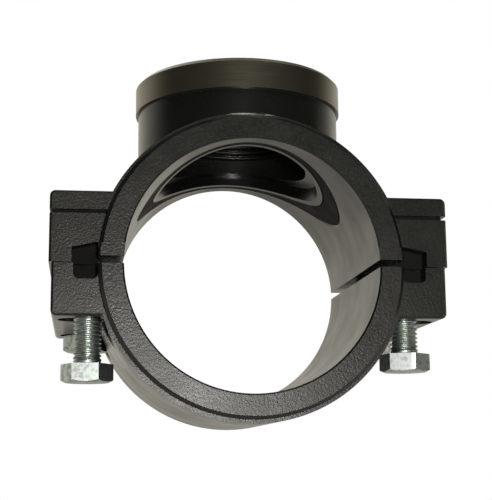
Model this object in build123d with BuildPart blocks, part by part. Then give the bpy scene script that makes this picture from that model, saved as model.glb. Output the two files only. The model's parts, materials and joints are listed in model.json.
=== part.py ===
from build123d import *
import os
from math import sqrt

os.makedirs("parts", exist_ok=True)

# Tapping saddle for a plastic pressure pipe: a saddle body with a threaded branch and a strap,
# bolted together round the pipe. Y runs along the pipe, Z up along the branch and X across the
# ears. The origin is where the pipe's axis meets the branch's axis. Sizes are in millimetres.

# Pipe bore and shell
pipe_diameter = 90.0
bore_clearance = 0.25
collar_wall = 8.8  # shell wall at the two end collars
band_rise = 1.4  # the middle band stands this far out of the collars
body_length = 84.0
collar_length = 3.5  # each end collar, along the pipe
rim_chamfer = 1.2  # outer edge of a collar
bore_chamfer = 0.6

# Split between the two halves
ear_gap = 0.3  # between the closed faces of the ears
saddle_shell_end = 2.0  # the saddle's shell stops this far above the pipe's axis
strap_shell_end = 0.6  # and the strap's this far below it
lip_height = 4.4  # thin end lip of the saddle's shell
lip_setback = 0.6  # the lip lies this far behind the collar's end face

# Ears
saddle_ear_reach = 15.6  # beyond the band, sideways
strap_ear_reach = 14.6
saddle_ear_height = 25.5
strap_ear_depth = 18.5
ear_round = 2.0
ear_edge_chamfer = 0.8
pocket_depth = 6.0  # relief pockets in the end faces of the ears, at the split
saddle_pocket_width = 9.2
strap_pocket_width = 8.6
saddle_pocket_height = 7.4  # next to the shell
saddle_pocket_slope = 1.9  # lower by this at its outer end
strap_pocket_height = 5.7
strap_pocket_round = 2.0
groove_height = 1.4
groove_depth = 1.6
groove_below_top = 7.4  # middle of the moulded groove under the ear's top

# Bolts and nuts, M10
bolt_diameter = 10.0
bolt_length = 55.0
head_height = 6.4
across_flats = 16.0
nut_height = 8.4
thread_clearance = 0.05  # between the bolt's thread and the nut's
hole_clearance = 0.5  # round the bolt in the ears
slot_stretch = 5.1  # the strap's holes are slots, longer outwards
bolt_offset = 1.8  # bolt axis beyond the band
bolt_end_distance = 12.5  # bolt axis from the end of the ear
hex_side_turn = 30.0  # turns a hexagon so that two of its flats face the ears' sides
nut_side_clearance = 0.15
nut_seat_gap = 0.05
nut_recess = 0.6  # top of the nut below the ear's top
head_gap = 0.3  # between a tightened head and the strap's ear
head_side_clearance = 0.6  # round the head, where the strap's band is relieved for it
left_slack = 15.4  # the front bolts are not tightened: heads hang this far down
right_slack = 11.5
left_turn = -5.0  # and have stopped at these turns
right_turn = -21.0

# Branch, thread and reinforcing ring
ring_radius = 39.8
ring_wall = 1.4
ring_height = 11.5
ring_top = 76.4
ring_bevel = 1.6
ring_lip = 3.0  # the ring turns in over the branch's mouth
ring_fit = 0.05
branch_setback = 1.0  # branch surface behind the ring's
thread_major_radius = 29.81  # 2 inch parallel pipe thread; its fine ridges are not modelled
thread_length = 19.5
thread_lead_in = 1.0

# Port and gasket in the roof of the bore
port_bore_radius = 26.5  # plain hole between the pipe and the thread
port_lip_radius = 30.8
port_lip_wall = 2.0
port_lip_depth = 4.0
gasket_width_x = 6.7  # of the gasket's groove, across the pipe
gasket_width_y = 3.2  # and along it
gasket_groove_depth = 3.5
gasket_side_clearance = 0.5
gasket_recess = 0.1  # gasket face behind the bore

# Worked out from the sizes above
bore_radius = pipe_diameter / 2 + bore_clearance
collar_radius = bore_radius + collar_wall
band_radius = collar_radius + band_rise
band_length = body_length - 2 * collar_length
saddle_ear_x = band_radius + saddle_ear_reach
strap_ear_x = band_radius + strap_ear_reach
bolt_x = band_radius + bolt_offset
bolt_radius = bolt_diameter / 2
bolt_hole_radius = bolt_radius + hole_clearance
nut_seat = saddle_ear_height - nut_recess - nut_height - nut_seat_gap
pocket_flats = across_flats + 2 * nut_side_clearance
branch_radius = ring_radius - branch_setback
ring_inner = ring_radius - ring_wall
rebate_radius = ring_inner - ring_fit
ring_bottom = ring_top - ring_height
branch_top = ring_top - ring_wall - ring_fit
thread_top = branch_top - thread_lead_in
port_groove_inner = port_lip_radius + port_lip_wall
gasket_reach_x = port_groove_inner + gasket_width_x
gasket_reach_y = port_groove_inner + gasket_width_y
bolt_pitch = band_length - 2 * bolt_end_distance
span = 2 * body_length  # longer than any cut needs


def roof_plug(inner_radius, reach_x, reach_y, depth):
    """Oval plug or ring seen along the branch, its top rounded to follow the roof of the bore."""
    with BuildPart() as plug:
        with BuildSketch(Plane.XY):
            Ellipse(reach_x, reach_y)
            if inner_radius > 0:
                Circle(inner_radius, mode=Mode.SUBTRACT)
        extrude(amount=bore_radius + depth)
        with BuildSketch(Plane.XZ.offset(-body_length / 2)):
            Circle(bore_radius + depth)
        extrude(amount=body_length, mode=Mode.INTERSECT)
    return plug.part


def clamp_half(ear_x, ear_end):
    """Bored band with end collars, and ears that reach from the pipe's axis to ear_end."""
    outer, inner = (-1, 0) if ear_end > 0 else (0, -1)
    with BuildPart() as half:
        with BuildSketch(Plane.XZ):
            with Locations((0, ear_end / 2)):
                Rectangle(2 * ear_x, abs(ear_end))
        extrude(amount=band_length / 2, both=True)
        fillet(half.edges().filter_by(Axis.Y).group_by(Axis.Z)[outer], radius=ear_round)
        end_edges = half.faces().filter_by(Axis.Y).edges()
        chamfer(end_edges - end_edges.group_by(Axis.Z)[inner], length=ear_edge_chamfer)
        with BuildSketch(Plane.XZ):
            Circle(band_radius)
        extrude(amount=band_length / 2, both=True)
        with BuildSketch(Plane.XZ):
            Circle(collar_radius)
        extrude(amount=body_length / 2, both=True)
        end_faces = half.faces().filter_by(Axis.Y).group_by(Axis.Y)
        chamfer(end_faces[0].edges() + end_faces[-1].edges(), length=rim_chamfer)
        with BuildSketch(Plane.XZ):
            Circle(bore_radius)
        extrude(amount=body_length, both=True, mode=Mode.SUBTRACT)
        mouths = half.faces().filter_by(Axis.Y).group_by(Axis.Y)
        mouth_edges = mouths[0].edges() + mouths[-1].edges()
        chamfer(mouth_edges.group_by(SortBy.RADIUS)[0], length=bore_chamfer)
    return half.part


def ear_pockets(points, corner_round):
    """Relief pockets in the end faces of all four ears of one half, as solids to cut away."""
    with BuildPart() as pockets:
        for pocket_back in (band_length / 2 - pocket_depth, -band_length / 2):
            with BuildSketch(Plane.XZ.offset(pocket_back)) as outline:
                with BuildLine():
                    Polyline(*points, close=True)
                make_face()
                if corner_round > 0:
                    fillet(outline.vertices().group_by(Axis.Y)[0], radius=corner_round)
                mirror(about=Plane.YZ)
            extrude(amount=pocket_depth)
    return pockets.part


# Saddle body: upper half shell, ears and branch, moulded in one piece
saddle_half = clamp_half(saddle_ear_x, saddle_ear_height)
port_mouth = roof_plug(0, port_lip_radius, port_lip_radius, port_lip_depth)
gasket_groove = roof_plug(port_groove_inner, gasket_reach_x, gasket_reach_y, gasket_groove_depth)
pocket_x = collar_radius
saddle_pockets = ear_pockets(
    [(pocket_x, 0), (pocket_x + saddle_pocket_width, 0),
     (pocket_x + saddle_pocket_width, saddle_pocket_height - saddle_pocket_slope),
     (pocket_x, saddle_pocket_height)], 0)
groove_z = saddle_ear_height - groove_below_top - groove_height / 2
groove_start_x = sqrt(collar_radius**2 - groove_z**2)
with BuildPart() as saddle_body:
    with BuildSketch(Plane.XY):
        Circle(branch_radius)
    extrude(amount=branch_top)
    with BuildSketch(Plane.XY.offset(ring_bottom - ring_fit)):
        Circle(ring_radius)
        Circle(rebate_radius, mode=Mode.SUBTRACT)
    extrude(amount=ring_height, mode=Mode.SUBTRACT)
    with BuildSketch(Plane.XZ):
        Circle(bore_radius)
    extrude(amount=body_length, both=True, mode=Mode.SUBTRACT)
    add(saddle_half)
    # the split: shell ends stand back from the ears' faces, with a thin lip at each end
    with BuildSketch(Plane.XZ):
        with Locations((0, ear_gap / 2)):
            Rectangle(span, span, align=(Align.CENTER, Align.MAX))
        with Locations((0, saddle_shell_end)):
            Rectangle(2 * pocket_x, span, align=(Align.CENTER, Align.MAX))
    extrude(amount=body_length, both=True, mode=Mode.SUBTRACT)
    with BuildSketch(Plane.XY.offset(saddle_shell_end)):
        Rectangle(2 * band_radius, body_length)
        Rectangle(2 * band_radius, body_length - 2 * lip_setback, mode=Mode.SUBTRACT)
    extrude(amount=lip_height, mode=Mode.SUBTRACT)
    add(saddle_pockets, mode=Mode.SUBTRACT)
    # moulded groove round the ears, below their tops
    with BuildSketch(Plane.XY.offset(groove_z)):
        Rectangle(2 * saddle_ear_x, band_length)
        Rectangle(2 * (saddle_ear_x - groove_depth), band_length - 2 * groove_depth,
                  mode=Mode.SUBTRACT)
        Rectangle(2 * groove_start_x, band_length, mode=Mode.SUBTRACT)
    extrude(amount=groove_height, mode=Mode.SUBTRACT)
    # bolt holes, and hexagonal pockets that hold the nuts from turning
    with BuildSketch(Plane.XY):
        with GridLocations(2 * bolt_x, bolt_pitch, 2, 2):
            Circle(bolt_hole_radius)
    extrude(amount=saddle_ear_height, mode=Mode.SUBTRACT)
    with BuildSketch(Plane.XY.offset(nut_seat)):
        with GridLocations(2 * bolt_x, bolt_pitch, 2, 2):
            RegularPolygon(pocket_flats / 2, 6, major_radius=False, rotation=hex_side_turn)
    extrude(amount=saddle_ear_height - nut_seat + bolt_offset, mode=Mode.SUBTRACT)
    # port: gasket groove, lip, plain hole and the bore that is threaded
    add(gasket_groove, mode=Mode.SUBTRACT)
    add(port_mouth, mode=Mode.SUBTRACT)
    with BuildSketch(Plane.XY):
        Circle(port_bore_radius)
    extrude(amount=branch_top, mode=Mode.SUBTRACT)
    with BuildSketch(Plane.XY.offset(branch_top)):
        Circle(thread_major_radius)
    extrude(amount=thread_top - thread_length - branch_top, mode=Mode.SUBTRACT)
    mouth = saddle_body.edges().filter_by(GeomType.CIRCLE).group_by(Axis.Z)[-1]
    chamfer(mouth.group_by(SortBy.RADIUS)[0], length=thread_lead_in)
saddle_body.part.label = "saddle_body"

# Strap: lower half shell and ears, moulded in one piece
strap_half = clamp_half(strap_ear_x, -strap_ear_depth)
strap_pockets = ear_pockets(
    [(pocket_x, 0), (pocket_x + strap_pocket_width, 0),
     (pocket_x + strap_pocket_width, -strap_pocket_height), (pocket_x, -strap_pocket_height)],
    strap_pocket_round)
slot_length = 2 * bolt_hole_radius + slot_stretch
head_relief_radius = across_flats / sqrt(3) + head_side_clearance
with BuildPart() as strap:
    add(strap_half)
    with BuildSketch(Plane.XZ):
        with Locations((0, -ear_gap / 2)):
            Rectangle(span, span, align=(Align.CENTER, Align.MIN))
        with Locations((0, -strap_shell_end)):
            Rectangle(2 * pocket_x, span, align=(Align.CENTER, Align.MIN))
    extrude(amount=body_length, both=True, mode=Mode.SUBTRACT)
    add(strap_pockets, mode=Mode.SUBTRACT)
    with BuildSketch(Plane.XY):
        with GridLocations(2 * bolt_x + slot_stretch, bolt_pitch, 2, 2):
            SlotOverall(slot_length, 2 * bolt_hole_radius)
    extrude(amount=-strap_ear_depth, mode=Mode.SUBTRACT)
    with BuildSketch(Plane.XY.offset(-strap_ear_depth)):
        with GridLocations(2 * bolt_x, bolt_pitch, 2, 2):
            Circle(head_relief_radius)
    extrude(amount=-band_radius, mode=Mode.SUBTRACT)
strap.part.label = "strap"

# Reinforcing ring: stainless steel, pressed round the mouth of the branch and turned in over it
with BuildPart() as reinforcing_ring:
    with BuildSketch(Plane.XZ):
        with BuildLine():
            Polyline((ring_inner, ring_bottom), (ring_radius, ring_bottom),
                     (ring_radius, ring_top - ring_bevel), (ring_radius - ring_bevel, ring_top),
                     (ring_inner - ring_lip, ring_top), (ring_inner - ring_lip, ring_top - ring_wall),
                     (ring_inner, ring_top - ring_wall), close=True)
        make_face()
    revolve(axis=Axis.Z)
reinforcing_ring.part.label = "reinforcing_ring"

# Port gasket: rubber, shaped to the roof of the bore
with BuildPart() as port_gasket:
    add(roof_plug(port_groove_inner + gasket_side_clearance,
                  gasket_reach_x - gasket_side_clearance, gasket_reach_y - gasket_side_clearance,
                  gasket_groove_depth - gasket_recess))
    with BuildSketch(Plane.XZ):
        Circle(bore_radius + gasket_recess)
    extrude(amount=body_length, both=True, mode=Mode.SUBTRACT)
port_gasket.part.label = "port_gasket"


# Bolts: heads down, each along its own axis; z = 0 is the bearing face of the head
with BuildPart() as bolt:
    with BuildSketch(Plane.XY):
        RegularPolygon(across_flats / 2, 6, major_radius=False)
    extrude(amount=-head_height)
    with BuildSketch(Plane.XY):
        Circle(bolt_radius)
    extrude(amount=bolt_length)

# Nuts: z = 0 is the face that bears on the seat in the ear
with BuildPart() as nut:
    with BuildSketch(Plane.XY):
        RegularPolygon(across_flats / 2, 6, major_radius=False, rotation=hex_side_turn)
        Circle(bolt_radius + thread_clearance, mode=Mode.SUBTRACT)
    extrude(amount=nut_height)

pieces = [saddle_body, strap, reinforcing_ring, port_gasket]
head_seat = -strap_ear_depth - head_gap
corners = {
    "front_left": (-bolt_x, -bolt_pitch / 2, left_slack, left_turn),
    "front_right": (bolt_x, -bolt_pitch / 2, right_slack, right_turn),
    "rear_left": (-bolt_x, bolt_pitch / 2, 0, 0),
    "rear_right": (bolt_x, bolt_pitch / 2, 0, 0),
}
for corner, (x, y, slack, turn) in corners.items():
    with BuildPart() as placed_bolt:
        with Locations((x, y, head_seat - slack)):
            add(bolt.part, rotation=(0, 0, turn))
    placed_bolt.part.label = f"bolt_{corner}"
    with BuildPart() as placed_nut:
        with Locations((x, y, nut_seat + nut_seat_gap)):
            add(nut.part)
    placed_nut.part.label = f"nut_{corner}"
    pieces += [placed_bolt, placed_nut]

for piece in pieces:
    export_step(piece.part, f"parts/{piece.part.label}.step")
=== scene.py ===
import json
from math import atan2, cos, pi, radians, sin

import bmesh
import bpy
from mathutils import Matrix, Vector


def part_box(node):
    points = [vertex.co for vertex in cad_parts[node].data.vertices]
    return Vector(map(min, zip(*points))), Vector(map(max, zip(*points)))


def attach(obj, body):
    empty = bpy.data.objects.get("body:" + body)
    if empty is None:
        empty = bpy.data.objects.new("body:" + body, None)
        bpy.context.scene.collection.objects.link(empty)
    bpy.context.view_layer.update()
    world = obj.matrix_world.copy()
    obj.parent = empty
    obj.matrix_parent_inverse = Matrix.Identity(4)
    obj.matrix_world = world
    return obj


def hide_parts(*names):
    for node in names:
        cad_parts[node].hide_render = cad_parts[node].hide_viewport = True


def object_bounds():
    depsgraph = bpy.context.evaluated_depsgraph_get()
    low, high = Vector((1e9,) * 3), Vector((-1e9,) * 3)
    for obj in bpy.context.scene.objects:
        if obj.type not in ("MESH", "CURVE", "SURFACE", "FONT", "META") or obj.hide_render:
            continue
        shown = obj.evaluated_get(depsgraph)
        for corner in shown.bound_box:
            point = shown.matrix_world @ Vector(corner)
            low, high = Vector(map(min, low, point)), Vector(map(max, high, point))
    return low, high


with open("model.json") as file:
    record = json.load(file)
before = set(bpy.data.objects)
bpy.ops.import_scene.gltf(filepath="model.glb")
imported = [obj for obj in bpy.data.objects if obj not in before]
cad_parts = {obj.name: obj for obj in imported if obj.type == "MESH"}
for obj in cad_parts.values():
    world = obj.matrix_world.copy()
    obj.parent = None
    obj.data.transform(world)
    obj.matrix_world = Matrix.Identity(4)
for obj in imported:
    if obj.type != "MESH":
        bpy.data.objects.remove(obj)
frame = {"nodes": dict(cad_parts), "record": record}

bl_info = {
    "name": "Tapping saddle",
    "version": (1, 0, 0),
    "blender": (4, 5, 0),
    "location": "3D View > Sidebar > Saddle",
    "description": "Dresses a pipe tapping saddle: mouldings, steel ring, gasket, bolts and nuts",
    "category": "Object",
}

# Everything is in metres, in the frame of the CAD part: Y along the pipe, Z up the outlet.
MM = 0.001
CAD_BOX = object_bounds()
CORNERS = ("front_left", "front_right", "rear_left", "rear_right")
MOUNTS = {mount["name"]: mount for mount in frame["record"]["mounts"]}
BORE_RADIUS = MOUNTS["pipe_clamp"]["dims"]["r_mm"] * MM
EARS_START = 46.0 * MM  # beyond this, sideways, a face set back from the ends is a relief
COLLAR_TOP = 54.5 * MM  # the branch begins above this
END_FACES = 38.0 * MM  # the ears' and collars' end faces lie beyond this, along the pipe

HEAD_REACH = 7.5 * MM  # further than this from its axis, a bolt is all head
RIDGE_GAP = 0.02 * MM  # between the outlet's wall and the roots of its thread
NUT_CLEARANCE = 0.05 * MM  # between a bolt's thread and its nut
FLAT_SHARE = 0.96  # of the half width that a hexagon's face keeps before it turns off
RELIEF_PAINTED_SHADE = 0.3  # painted shade: the reliefs' colour as a share of the plastic's, darkened to stand in for the shade that falls in recesses

# Points around and along the grids that are wrapped to threads
OUTLET_GRID = {"around": 193, "along": 281}
BOLT_GRID = {"around": 49, "along": 331}

POLYPROPYLENE_IOR = 1.49
RUBBER_IOR = 1.35
WHITE = (1.0, 1.0, 1.0, 1.0)

# Name, place, width and height in metres, and power in watts
LAMPS = (("key", (0.0, -0.47, -0.065), (0.05, 0.03), 1.2),
         ("rear", (0.0, 0.5, 0.6), (0.5, 0.5), 1.0),
         ("top", (0.1, -0.35, 0.75), (0.5, 0.4), 3.0))
LAMP_COLOUR = (1.0, 0.97, 0.91)


# ---------------------------------------------------------------- shader maths


class Socket:
    """A node's output on which Python arithmetic adds Math nodes."""

    def __init__(self, tree, output):
        self.tree = tree
        self.output = output

    def math(self, operation, *others):
        return self.tree.add("ShaderNodeMath", {"operation": operation}, (self, *others))

    def __add__(self, other):
        return self.math("ADD", other)

    def __sub__(self, other):
        return self.math("SUBTRACT", other)

    def __mul__(self, other):
        return self.math("MULTIPLY", other)

    def __truediv__(self, other):
        return self.math("DIVIDE", other)

    def __rsub__(self, other):
        return self.tree.add("ShaderNodeMath", {"operation": "SUBTRACT"}, (other, self))

    __radd__ = __add__
    __rmul__ = __mul__


class Tree:
    """A node tree that is written as calls and expressions."""

    def __init__(self, node_tree):
        self.node_tree = node_tree
        node_tree.nodes.clear()

    def add(self, kind, settings=None, values=(), result=0):
        """Adds a node, applies its settings, fills its sockets and returns one output."""
        node = self.node_tree.nodes.new(kind)
        for name, value in (settings or {}).items():
            setattr(node, name, value)
        pairs = values.items() if isinstance(values, dict) else enumerate(values)
        for key, value in pairs:
            if isinstance(value, Socket):
                self.node_tree.links.new(value.output, node.inputs[key])
            else:
                node.inputs[key].default_value = value
        return Socket(self, node.outputs[result]) if node.outputs else node

    def object_place(self):
        return self.add("ShaderNodeTexCoord", result="Object")

    def split(self, vector):
        node = self.add("ShaderNodeSeparateXYZ", values=(vector,)).output.node
        return [Socket(self, output) for output in node.outputs]

    def noise(self, place, scale, detail=3.0, roughness=0.5):
        return self.add("ShaderNodeTexNoise", {}, {"Vector": place, "Scale": scale,
                        "Detail": detail, "Roughness": roughness}, result="Fac")

    def fit(self, value, low, high, new_low=0.0, new_high=1.0):
        """Smoothly maps value from low..high to new_low..new_high."""
        return self.add("ShaderNodeMapRange", {"interpolation_type": "SMOOTHSTEP"},
                        {"Value": value, "From Min": low, "From Max": high,
                         "To Min": new_low, "To Max": new_high})

    def mix(self, factor, first, second):
        """Blends two colours."""
        return self.add("ShaderNodeMix", {"data_type": "RGBA"},
                        {0: factor, 6: first, 7: second}, result=2)

    def bump(self, height, distance, strength=1.0, normal=None):
        values = {"Strength": strength, "Distance": distance, "Height": height}
        if normal is not None:
            values["Normal"] = normal
        return self.add("ShaderNodeBump", {}, values)

    def surface(self, **sockets):
        """Principled surface whose sockets are named with underscores."""
        values = {name.replace("_", " "): value for name, value in sockets.items()}
        shader = self.add("ShaderNodeBsdfPrincipled", {}, values)
        self.add("ShaderNodeOutputMaterial", {}, {"Surface": shader})


def new_material(name):
    material = bpy.data.materials.new(name)
    material.use_nodes = True
    return material, Tree(material.node_tree)


def rgba(colour):
    return (*colour, 1.0)


# ------------------------------------------------------------------- materials


def moulded_plastic(settings):
    """Black polypropylene: grained end faces, matt reliefs darkened with painted shade, satin bore,
    and smooth elsewhere.
    """
    material, tree = new_material("black polypropylene")
    place = tree.object_place()
    across, along, height = tree.split(place)
    facing = tree.split(tree.add("ShaderNodeNewGeometry", result="Normal"))[1].math("ABSOLUTE")
    flat = tree.fit(facing, 0.90, 0.97) * (1.0 - tree.fit(height, COLLAR_TOP, COLLAR_TOP + MM))
    outermost = tree.fit(along.math("ABSOLUTE"), END_FACES, END_FACES + 0.3 * MM)
    end_face = flat * outermost
    beside = tree.fit(across.math("ABSOLUTE"), EARS_START, EARS_START + MM)
    # Floors of the reliefs and grooves, which are roughened and darkened with painted shade
    relief = flat * (1.0 - outermost) * beside
    round_pipe = tree.add("ShaderNodeVectorMath", {"operation": "MULTIPLY"},
                          (place, (1.0, 0.0, 1.0)))
    from_axis = tree.add("ShaderNodeVectorMath", {"operation": "LENGTH"}, (round_pipe,), "Value")
    bore = 1.0 - tree.fit(from_axis, BORE_RADIUS + 0.1 * MM, BORE_RADIUS + 0.4 * MM)

    grain = tree.noise(place, settings.grain_scale, 3.0, 0.6)
    speckle = tree.fit(grain, 0.45, 0.72) * end_face
    colour = tree.mix(speckle, rgba(settings.plastic_colour), rgba(settings.speckle_colour))
    # Painted shade: the floors of the reliefs and grooves are darkened to stand in for the shade
    # that falls in them
    painted_shade_colour = [part * RELIEF_PAINTED_SHADE for part in settings.plastic_colour]
    colour = tree.mix(relief, colour, rgba(painted_shade_colour))

    cloud = tree.noise(place, 70.0, 3.0)
    roughness = (settings.plastic_gloss + tree.fit(cloud, 0.3, 0.7, -0.03, 0.03)
                 + end_face * (settings.grain_gloss - settings.plastic_gloss)
                 + relief * (settings.relief_gloss - settings.plastic_gloss)
                 + bore * (settings.bore_gloss - settings.plastic_gloss))

    grained = tree.bump(grain * end_face, settings.grain_depth)
    swell = tree.bump(tree.noise(place, 48.0, 1.0) * (1.0 - end_face), 0.8 * MM, 0.8, grained)
    normal = tree.bump(tree.noise(place, 160.0, 2.0), 0.05 * MM, 0.3, swell)
    tree.surface(Base_Color=colour, Roughness=roughness, Normal=normal,
                 IOR=POLYPROPYLENE_IOR)
    return material


def rubber(settings):
    """Matt black rubber with a faint bloom."""
    material, tree = new_material("black rubber")
    place = tree.object_place()
    bloom = tree.noise(place, 90.0, 4.0)
    colour = tree.mix(bloom, rgba(settings.rubber_colour), rgba(settings.rubber_bloom))
    roughness = tree.fit(bloom, 0.3, 0.7, 0.62, 0.78)
    normal = tree.bump(tree.noise(place, 900.0, 3.0), 0.03 * MM, 0.4)
    tree.surface(Base_Color=colour, Roughness=roughness, Normal=normal, IOR=RUBBER_IOR,
                 Specular_IOR_Level=0.15)
    return material


def brushed_stainless(settings):
    """Stainless steel brushed round the ring."""
    material, tree = new_material("brushed stainless steel")
    place = tree.object_place()
    brush_place = tree.add("ShaderNodeMapping", {}, {"Vector": place, "Scale": (1.0, 1.0, 90.0)})
    brush = tree.noise(brush_place, 60.0, 5.0, 0.6)
    stain = tree.noise(place, 45.0, 4.0)
    colour = tree.mix(stain, rgba(settings.steel_colour), rgba(settings.steel_stain))
    roughness = tree.fit(brush, 0.3, 0.7, settings.steel_gloss, settings.steel_gloss + 0.08)
    normal = tree.bump(brush, 0.01 * MM, 0.35)
    tree.surface(Base_Color=colour, Roughness=roughness, Metallic=1.0, Normal=normal)
    return material


def zinc_plate(settings):
    """Bright zinc plate with a faint green and blue cast."""
    material, tree = new_material("bright zinc plate")
    place = tree.object_place()
    tint = tree.noise(place, 130.0, 2.0)
    mottle = tree.noise(place, 520.0, 4.0, 0.6)
    cast = tree.fit(tint, 0.35, 0.65)
    colour = tree.mix(cast, rgba(settings.zinc_green), rgba(settings.zinc_blue))
    dulled = tree.fit(mottle, 0.45, 0.65, 0.0, 0.6)
    colour = tree.mix(dulled, colour, rgba(settings.zinc_dull))
    roughness = tree.fit(mottle, 0.3, 0.7, settings.zinc_gloss, settings.zinc_gloss + 0.14)
    normal = tree.bump(mottle, 0.03 * MM, 0.35)
    tree.surface(Base_Color=colour, Roughness=roughness, Metallic=1.0, Normal=normal)
    return material


def give(obj, material):
    """Leaves the object with this material alone."""
    obj.data.materials.clear()
    obj.data.materials.append(material)


# -------------------------------------------------------------- geometry nodes


def thread_tree():
    """Helical thread round Z: a grid wrapped to a tube whose radius follows the thread's form."""
    group = bpy.data.node_groups.new("Thread", "GeometryNodeTree")
    inputs = (("Radius", "NodeSocketFloat"), ("Depth", "NodeSocketFloat"),
              ("Pitch", "NodeSocketFloat"), ("Length", "NodeSocketFloat"),
              ("Run In", "NodeSocketFloat"), ("Run Out", "NodeSocketFloat"),
              ("Around", "NodeSocketInt"), ("Along", "NodeSocketInt"),
              ("Material", "NodeSocketMaterial"))
    for name, kind in inputs:
        group.interface.new_socket(name, in_out="INPUT", socket_type=kind)
    group.interface.new_socket("Geometry", in_out="OUTPUT", socket_type="NodeSocketGeometry")
    tree = Tree(group)
    source = group.nodes.new("NodeGroupInput")
    value = {name: Socket(tree, source.outputs[name]) for name, _ in inputs}
    grid = tree.add("GeometryNodeMeshGrid", {}, {"Size X": 1.0, "Size Y": 1.0,
                    "Vertices X": value["Around"], "Vertices Y": value["Along"]})
    across, along, _ = tree.split(tree.add("GeometryNodeInputPosition"))
    turn = across + 0.5
    height = (along + 0.5) * value["Length"]
    phase = (height / value["Pitch"] - turn).math("FRACT")
    ridge = 1.0 - (phase * 2.0 - 1.0).math("ABSOLUTE")
    form = tree.fit(ridge, 0.08, 0.92)
    rise = (height / value["Run In"]).math("MINIMUM", 1.0)
    fall = ((value["Length"] - height) / value["Run Out"]).math("MINIMUM", 1.0)
    radius = value["Radius"] - value["Depth"] * form * rise * fall
    angle = turn * (2 * pi)
    wrapped = tree.add("ShaderNodeCombineXYZ", {}, (radius * angle.math("COSINE"),
                       radius * angle.math("SINE"), height))
    tube = tree.add("GeometryNodeSetPosition", {}, {"Geometry": grid, "Position": wrapped})
    closed = tree.add("GeometryNodeMergeByDistance", {}, {"Geometry": tube, "Distance": 1e-6})
    solid = tree.add("GeometryNodeRealizeInstances", {}, {"Geometry": closed})
    painted = tree.add("GeometryNodeSetMaterial", {},
                       {"Geometry": solid, "Material": value["Material"]})
    tree.add("NodeGroupOutput", {}, {"Geometry": painted})
    return group


def thread_mesh(name, **values):
    """Evaluates the thread tree on an empty object and keeps the result as a plain mesh."""
    group = bpy.data.node_groups.get("Thread") or thread_tree()
    host = bpy.data.objects.new(name, bpy.data.meshes.new(name))
    bpy.context.collection.objects.link(host)
    modifier = host.modifiers.new("Thread", "NODES")
    modifier.node_group = group
    for item in group.interface.items_tree:
        if item.in_out == "INPUT":
            modifier[item.identifier] = values[item.name.replace(" ", "_").lower()]
    graph = bpy.context.evaluated_depsgraph_get()
    mesh = bpy.data.meshes.new_from_object(host.evaluated_get(graph), depsgraph=graph)
    bpy.data.objects.remove(host)
    return mesh


# ---------------------------------------------------------------------- meshes


def lathe_rows(mesh, rows):
    """Joins rows of points that each go once round into a skin; returns the rows' vertices."""
    made = [[mesh.verts.new(point) for point in row] for row in rows]
    for low, high in zip(made, made[1:]):
        for step in range(len(low)):
            after = (step + 1) % len(low)
            mesh.faces.new((low[step], low[after], high[after], high[step]))
    return made


def hexagon_mesh(settings, height, bore, turn, bevelled_top, around=72):
    """Hexagon on z = 0 with corners turned off to a cone, bored through if bore is set."""
    flat = settings.across_flats / 2
    start = FLAT_SHARE * flat
    mesh = bmesh.new()

    def row(level, radius=None, bevel=None):
        points = []
        for step in range(around):
            angle = 2 * pi * step / around
            reach = flat / cos((angle - turn + pi / 6) % (pi / 3) - pi / 6)
            turned_off = (reach - start) * settings.corner_slope
            lift = 0.0 if bevel is None else bevel * turned_off
            points.append(((radius or reach) * cos(angle), (radius or reach) * sin(angle),
                           level + lift))
        return points

    rows = [row(0, start), row(0, bevel=1), row(height, bevel=-1 if bevelled_top else 0)]
    if bevelled_top:
        rows.append(row(height, start))
    if bore:
        mouth = bore + settings.bolt_thread_depth
        drop = settings.bolt_thread_depth
        rows = [row(drop, bore), row(0, mouth), *rows, row(height, mouth), row(height - drop, bore)]
        rows.append(rows[0])
        made = lathe_rows(mesh, rows)
    else:
        made = lathe_rows(mesh, rows)
        mesh.faces.new(list(reversed(made[0])))
        mesh.faces.new(made[-1])
    bmesh.ops.remove_doubles(mesh, verts=mesh.verts, dist=1e-7)
    bmesh.ops.recalc_face_normals(mesh, faces=mesh.faces)
    return mesh


def finish_piece(mesh, name, body, material, replaced=None):
    """Turns a bmesh into an object that rides on a body, in place of a CAD node if one is named."""
    data = bpy.data.meshes.new(name)
    mesh.to_mesh(data)
    mesh.free()
    piece = bpy.data.objects.new(name, data)
    bpy.context.collection.objects.link(piece)
    give(piece, material)
    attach(piece, body)
    if replaced:
        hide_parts(replaced)
    return piece


def ridges_face_out(mesh):
    """True if the skin's faces look away from the Z axis."""
    face = next(iter(mesh.faces))
    return face.normal.xy.dot(face.calc_center_median().xy) > 0


def shade(piece, angle):
    """Smooth shading up to an angle, kept as plain sharp edges."""
    data = piece.data
    data.polygons.foreach_set("use_smooth", [True] * len(data.polygons))
    data.set_sharp_from_angle(angle=angle)


# ------------------------------------------------------------------ properties


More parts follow.
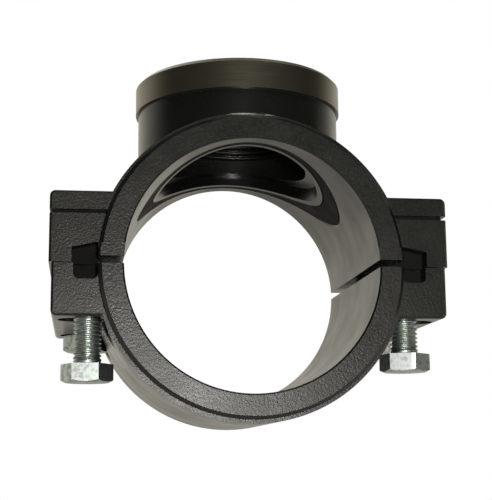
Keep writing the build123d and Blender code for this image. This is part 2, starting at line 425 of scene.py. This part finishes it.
class SaddleMouldingSettings(bpy.types.PropertyGroup):
    plastic_colour: bpy.props.FloatVectorProperty(
        name="Plastic", description="Colour of the black polypropylene", subtype="COLOR",
        default=(0.0040, 0.0044, 0.0034), min=0.0, max=1.0)
    speckle_colour: bpy.props.FloatVectorProperty(
        name="Speckle", description="Pale fleck of the grained end faces", subtype="COLOR",
        default=(0.012, 0.013, 0.010), min=0.0, max=1.0)
    plastic_gloss: bpy.props.FloatProperty(
        name="Smooth roughness", description="Roughness of the smooth surfaces", default=0.27,
        min=0.0, max=1.0)
    bore_gloss: bpy.props.FloatProperty(
        name="Bore roughness", description="Roughness of the bore that grips the pipe",
        default=0.34, min=0.0, max=1.0)
    relief_gloss: bpy.props.FloatProperty(
        name="Relief roughness", description="Roughness of the floors of the reliefs and grooves",
        default=0.95, min=0.0, max=1.0)
    grain_gloss: bpy.props.FloatProperty(
        name="Grained roughness", description="Roughness of the grained end faces", default=0.35,
        min=0.0, max=1.0)
    grain_scale: bpy.props.FloatProperty(
        name="Grain scale", description="Grains per metre, roughly", default=1250.0, min=1.0)
    grain_depth: bpy.props.FloatProperty(
        name="Grain depth", description="Height of the grain", default=0.09 * MM,
        subtype="DISTANCE")
    rubber_colour: bpy.props.FloatVectorProperty(
        name="Rubber", description="Colour of the gasket", subtype="COLOR",
        default=(0.006, 0.006, 0.006), min=0.0, max=1.0)
    rubber_bloom: bpy.props.FloatVectorProperty(
        name="Rubber bloom", description="Paler patches of the gasket", subtype="COLOR",
        default=(0.02, 0.02, 0.02), min=0.0, max=1.0)
    thread_pitch: bpy.props.FloatProperty(
        name="Outlet pitch", description="Pitch of the 2 inch parallel pipe thread",
        default=2.309 * MM, subtype="DISTANCE")
    thread_depth: bpy.props.FloatProperty(
        name="Outlet thread depth", description="From the thread's crest to its root",
        default=1.48 * MM, subtype="DISTANCE")


class SaddleMetalSettings(bpy.types.PropertyGroup):
    steel_colour: bpy.props.FloatVectorProperty(
        name="Ring steel", description="Colour of the stainless ring", subtype="COLOR",
        default=(0.20, 0.187, 0.146), min=0.0, max=1.0)
    steel_stain: bpy.props.FloatVectorProperty(
        name="Ring stain", description="Darker patches of the ring", subtype="COLOR",
        default=(0.15, 0.141, 0.108), min=0.0, max=1.0)
    steel_gloss: bpy.props.FloatProperty(
        name="Ring roughness", description="Roughness of the brushed steel", default=0.30,
        min=0.0, max=1.0)
    zinc_green: bpy.props.FloatVectorProperty(
        name="Zinc green", description="Green cast of the zinc plate", subtype="COLOR",
        default=(0.46, 0.52, 0.47), min=0.0, max=1.0)
    zinc_blue: bpy.props.FloatVectorProperty(
        name="Zinc blue", description="Blue cast of the zinc plate", subtype="COLOR",
        default=(0.51, 0.55, 0.58), min=0.0, max=1.0)
    zinc_dull: bpy.props.FloatVectorProperty(
        name="Zinc mottle", description="Dulled patches of the zinc plate", subtype="COLOR",
        default=(0.17, 0.18, 0.19), min=0.0, max=1.0)
    zinc_gloss: bpy.props.FloatProperty(
        name="Zinc roughness", description="Roughness of the zinc plate", default=0.34,
        min=0.0, max=1.0)
    bolt_radius: bpy.props.FloatProperty(
        name="Bolt radius", description="Radius over the crests of the M10 thread",
        default=5.0 * MM, subtype="DISTANCE")
    tip_bevel: bpy.props.FloatProperty(
        name="Tip bevel", description="Bevel at the end of the shank", default=1.0 * MM,
        subtype="DISTANCE")
    bolt_pitch: bpy.props.FloatProperty(
        name="Bolt pitch", description="Pitch of the M10 thread", default=1.5 * MM,
        subtype="DISTANCE")
    bolt_thread_depth: bpy.props.FloatProperty(
        name="Bolt thread depth", description="From crest to root of the M10 thread",
        default=0.70 * MM, subtype="DISTANCE")
    across_flats: bpy.props.FloatProperty(
        name="Across flats", description="Spanner size of the bolts and nuts",
        default=16.0 * MM, subtype="DISTANCE")
    corner_slope: bpy.props.FloatProperty(
        name="Corner slope", description="Drop of the turned-off corners per unit of radius",
        default=0.5)
    bolt_neck: bpy.props.FloatProperty(
        name="Bolt run-out", description="Length over which the thread fades towards the head",
        default=3.0 * MM, subtype="DISTANCE")


class SaddleStageSettings(bpy.types.PropertyGroup):
    floor_drop: bpy.props.FloatProperty(
        name="Floor drop", description="Floor below the lowest point of the saddle",
        default=48.0 * MM, subtype="DISTANCE")
    floor_colour: bpy.props.FloatVectorProperty(
        name="Floor", description="Colour of the floor and backdrop", subtype="COLOR",
        default=(0.85, 0.85, 0.84), min=0.0, max=1.0)
    mirrored_colour: bpy.props.FloatVectorProperty(
        name="Mirrored floor", description="Floor as glossy surfaces mirror it", subtype="COLOR",
        default=(0.62, 0.59, 0.51), min=0.0, max=1.0)
    room_colour: bpy.props.FloatVectorProperty(
        name="Room", description="Light from the room in front of the object", subtype="COLOR",
        default=(0.055, 0.055, 0.048), min=0.0, max=1.0)
    wall_colour: bpy.props.FloatVectorProperty(
        name="Wall", description="Light from the bright wall behind the object", subtype="COLOR",
        default=(0.95, 0.90, 0.78), min=0.0, max=1.0)
    camera_place: bpy.props.FloatVectorProperty(
        name="Camera", description="Where the camera stands", subtype="TRANSLATION",
        default=(-59.2 * MM, -437.3 * MM, -68.2 * MM))
    camera_turn: bpy.props.FloatVectorProperty(
        name="Camera turn", description="Pitch, roll and yaw of the camera", subtype="EULER",
        default=(radians(100.33), radians(0.49), radians(-8.01)))
    camera_lens: bpy.props.FloatProperty(
        name="Lens", description="Focal length on a 36 mm sensor, in millimetres", default=85.0)


# ------------------------------------------------------------------- operators


class SADDLE_OT_mouldings(bpy.types.Operator):
    """Plastic body with its outlet thread, plastic strap and rubber gasket"""
    bl_idname = "saddle.mouldings"
    bl_label = "Mouldings"

    def execute(self, context):
        settings = context.scene.saddle_mouldings
        plastic = moulded_plastic(settings)
        for node in ("saddle_body", "strap"):
            give(frame["nodes"][node], plastic)
        give(frame["nodes"]["port_gasket"], rubber(settings))
        self.outlet_thread(settings, plastic)
        return {"FINISHED"}

    def outlet_thread(self, settings, plastic):
        """Thread ridges that stand on the wall of the outlet."""
        outlet = MOUNTS["outlet_thread"]
        radius = outlet["dims"]["r_mm"] * MM
        length = outlet["dims"]["length_mm"] * MM
        thread = thread_mesh("outlet_thread", radius=radius - RIDGE_GAP,
                             depth=settings.thread_depth, pitch=settings.thread_pitch,
                             length=length, run_in=2.5 * MM, run_out=1.5 * MM,
                             material=plastic, **OUTLET_GRID)
        ridges = bmesh.new()
        ridges.from_mesh(thread)
        bmesh.ops.translate(ridges, verts=ridges.verts, vec=(0, 0, outlet["pos_m"][2] - length / 2))
        bmesh.ops.recalc_face_normals(ridges, faces=ridges.faces)
        if ridges_face_out(ridges):
            bmesh.ops.reverse_faces(ridges, faces=ridges.faces)
        piece = finish_piece(ridges, "outlet_thread_ridges", "saddle", plastic)
        shade(piece, radians(80))


class SADDLE_OT_ring(bpy.types.Operator):
    """Brushed stainless ring round the mouth of the outlet"""
    bl_idname = "saddle.ring"
    bl_label = "Reinforcing ring"

    def execute(self, context):
        give(frame["nodes"]["reinforcing_ring"], brushed_stainless(context.scene.saddle_metal))
        return {"FINISHED"}


class SADDLE_OT_fasteners(bpy.types.Operator):
    """Threaded hexagon bolts and their nuts"""
    bl_idname = "saddle.fasteners"
    bl_label = "Bolts and nuts"

    def execute(self, context):
        settings = context.scene.saddle_metal
        zinc = zinc_plate(settings)
        bolt_lengths = {corner: self.bolt_lengths(corner) for corner in CORNERS}
        head, shank_length = bolt_lengths["front_left"]
        shank = thread_mesh("bolt_thread", radius=settings.bolt_radius,
                            depth=settings.bolt_thread_depth, pitch=settings.bolt_pitch,
                            length=shank_length, run_in=settings.bolt_neck, run_out=0.6 * MM,
                            material=zinc, **BOLT_GRID)
        for corner in CORNERS:
            self.bolt(corner, settings, shank, head, zinc)
            self.nut(corner, settings, zinc)
        return {"FINISHED"}

    def bolt_lengths(self, corner):
        """Height of the head and length of the shank, read from where the hexagon ends."""
        low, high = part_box(f"bolt_{corner}")
        centre = self.axis(f"bolt_{corner}")
        bearing = max(vert.co.z for vert in frame["nodes"][f"bolt_{corner}"].data.vertices
                      if (vert.co.xy - centre).length > HEAD_REACH)
        return bearing - low[2], high[2] - bearing

    def axis(self, node):
        """Where the node's axis, which is parallel to Z, crosses the XY plane."""
        low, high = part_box(node)
        return Vector(((low[0] + high[0]) / 2, (low[1] + high[1]) / 2))

    def turn(self, node):
        """Turn of a hexagon about its axis, read from its furthest corner."""
        centre = self.axis(node)
        corner = max((vert.co.xy - centre for vert in frame["nodes"][node].data.vertices),
                     key=lambda offset: round(offset.length, 6))
        return atan2(corner.y, corner.x) + pi / 6

    def bolt(self, corner, settings, shank, head, zinc):
        """Head and threaded shank with a bevelled, closed tip, in place of the plain bolt."""
        name = f"bolt_{corner}"
        low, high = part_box(name)
        centre = self.axis(name)
        mesh = hexagon_mesh(settings, head, 0, self.turn(name), False)
        bmesh.ops.translate(mesh, verts=mesh.verts, vec=(centre.x, centre.y, low[2]))
        placed = bmesh.new()
        placed.from_mesh(shank)
        bmesh.ops.translate(placed, verts=placed.verts, vec=(centre.x, centre.y, low[2] + head))
        tip = high[2] - settings.tip_bevel
        for vert in placed.verts:
            over = vert.co.z - tip
            if over > 0:
                offset = vert.co.xy - centre
                keep = min(1.0, (settings.bolt_radius - over) / offset.length)
                vert.co.xy = centre + offset * keep
        rim = [edge for edge in placed.edges if edge.is_boundary and edge.verts[0].co.z > tip]
        bmesh.ops.contextual_create(placed, geom=rim)
        data = bpy.data.meshes.new("placed_shank")
        placed.to_mesh(data)
        placed.free()
        mesh.from_mesh(data)
        piece = finish_piece(mesh, f"threaded_{name}", name, zinc, name)
        shade(piece, radians(32))

    def nut(self, corner, settings, zinc):
        """Nut with its corners turned off on both faces, in place of the plain one."""
        name = f"nut_{corner}"
        low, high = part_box(name)
        centre = self.axis(name)
        mesh = hexagon_mesh(settings, high[2] - low[2], settings.bolt_radius + NUT_CLEARANCE,
                            self.turn(name), True)
        bmesh.ops.translate(mesh, verts=mesh.verts, vec=(centre.x, centre.y, low[2]))
        piece = finish_piece(mesh, f"bevelled_{name}", "saddle", zinc, name)
        shade(piece, radians(20))


class SADDLE_OT_stage(bpy.types.Operator):
    """Pale floor, studio light and the camera"""
    bl_idname = "saddle.stage"
    bl_label = "Stage"

    def execute(self, context):
        settings = context.scene.saddle_stage
        self.floor(settings)
        self.world(context.scene, settings)
        self.lamps()
        self.camera(context.scene, settings)
        context.scene.view_settings.view_transform = "Standard"
        return {"FINISHED"}

    def floor(self, settings):
        """White floor that keeps the shadow near the object and is clear from its underside."""
        level = CAD_BOX[0][2] - settings.floor_drop
        mesh = bmesh.new()
        bmesh.ops.create_grid(mesh, x_segments=1, y_segments=1, size=6.0)
        bmesh.ops.translate(mesh, verts=mesh.verts, vec=(0, 0, level))
        data = bpy.data.meshes.new("floor")
        mesh.to_mesh(data)
        mesh.free()
        floor = bpy.data.objects.new("floor", data)
        bpy.context.collection.objects.link(floor)
        material, tree = new_material("pale floor")
        place = tree.object_place()
        distance = tree.add("ShaderNodeVectorMath", {"operation": "LENGTH"}, (place,), "Value")
        pale = tree.add("ShaderNodeBsdfPrincipled", {}, {"Base Color": rgba(settings.floor_colour),
                                                         "Roughness": 0.7})
        straight, mirrored = self.background_rays(tree)
        shown = tree.mix(straight, rgba(settings.mirrored_colour), WHITE)
        white = tree.add("ShaderNodeEmission", {}, {"Color": shown, "Strength": 1.0})
        share = tree.fit(distance, 0.10, 0.45, 0.6, 1.0) * (straight + mirrored)
        both = tree.add("ShaderNodeMixShader", {}, (share, pale, white))
        underside = tree.add("ShaderNodeNewGeometry", result="Backfacing") * straight
        clear = tree.add("ShaderNodeBsdfTransparent")
        one_way = tree.add("ShaderNodeMixShader", {}, (underside, both, clear))
        tree.add("ShaderNodeOutputMaterial", {}, {"Surface": one_way})
        give(floor, material)

    def background_rays(self, tree):
        """Masks of the rays that look at the background straight, and in a reflection."""
        paths = tree.add("ShaderNodeLightPath").output.node.outputs
        straight = Socket(tree, paths["Is Camera Ray"])
        through = Socket(tree, paths["Is Transmission Ray"])
        mirrored = Socket(tree, paths["Is Glossy Ray"]).math("MAXIMUM", through)
        return straight, mirrored * (1.0 - straight)

    def world(self, scene, settings):
        """White to the camera; the object stands before a bright wall, in a dimmer room."""
        world = bpy.data.worlds.new("studio")
        world.use_nodes = True
        scene.world = world
        tree = Tree(world.node_tree)
        towards = tree.add("ShaderNodeTexCoord", result="Generated")
        _, behind, above = tree.split(towards)
        on_wall = tree.fit(behind, 0.0, 0.75) * (1.0 - tree.fit(above, 0.25, 0.8))
        room = tree.mix(on_wall, rgba(settings.room_colour), rgba(settings.wall_colour))
        seen = tree.add("ShaderNodeLightPath", result="Is Camera Ray")
        colour = tree.mix(seen, room, WHITE)
        light = tree.add("ShaderNodeBackground", {}, {"Color": colour, "Strength": 1.0})
        tree.add("ShaderNodeOutputWorld", {}, {"Surface": light})

    def lamps(self):
        """A lamp beside the camera, a weak one behind, and soft light from above."""
        for name, place, size, power in LAMPS:
            lamp = bpy.data.lights.new(name, "AREA")
            lamp.shape = "RECTANGLE"
            lamp.size, lamp.size_y = size
            lamp.energy = power
            lamp.color = LAMP_COLOUR
            holder = bpy.data.objects.new(name, lamp)
            holder.location = place
            holder.rotation_euler = (-Vector(place)).to_track_quat("-Z", "Y").to_euler()
            bpy.context.collection.objects.link(holder)

    def camera(self, scene, settings):
        lens = bpy.data.cameras.new("camera")
        lens.sensor_width = 36.0
        lens.sensor_fit = "HORIZONTAL"
        lens.lens = settings.camera_lens
        lens.clip_start = 0.01
        lens.clip_end = 20.0
        camera = bpy.data.objects.new("camera", lens)
        camera.location = settings.camera_place
        camera.rotation_euler = settings.camera_turn
        bpy.context.collection.objects.link(camera)
        scene.camera = camera


class SADDLE_PT_panel(bpy.types.Panel):
    """Builds the saddle's pieces one group at a time"""
    bl_idname = "SADDLE_PT_panel"
    bl_label = "Tapping saddle"
    bl_space_type = "VIEW_3D"
    bl_region_type = "UI"
    bl_category = "Saddle"

    def draw(self, context):
        for operator in OPERATORS:
            self.layout.operator(operator.bl_idname)
        for group in (context.scene.saddle_mouldings, context.scene.saddle_metal,
                      context.scene.saddle_stage):
            box = self.layout.box()
            for name in group.bl_rna.properties.keys():
                if name not in ("rna_type", "name"):
                    box.prop(group, name)


OPERATORS = (SADDLE_OT_mouldings, SADDLE_OT_ring, SADDLE_OT_fasteners, SADDLE_OT_stage)
CLASSES = (SaddleMouldingSettings, SaddleMetalSettings, SaddleStageSettings, *OPERATORS,
           SADDLE_PT_panel)


def register():
    for each in CLASSES:
        bpy.utils.register_class(each)
    bpy.types.Scene.saddle_mouldings = bpy.props.PointerProperty(type=SaddleMouldingSettings)
    bpy.types.Scene.saddle_metal = bpy.props.PointerProperty(type=SaddleMetalSettings)
    bpy.types.Scene.saddle_stage = bpy.props.PointerProperty(type=SaddleStageSettings)


def unregister():
    del bpy.types.Scene.saddle_stage
    del bpy.types.Scene.saddle_metal
    del bpy.types.Scene.saddle_mouldings
    for each in reversed(CLASSES):
        bpy.utils.unregister_class(each)


def main():
    register()
    bpy.ops.saddle.mouldings()
    bpy.ops.saddle.ring()
    bpy.ops.saddle.fasteners()
    bpy.ops.saddle.stage()


if __name__ == "__main__":
    main()
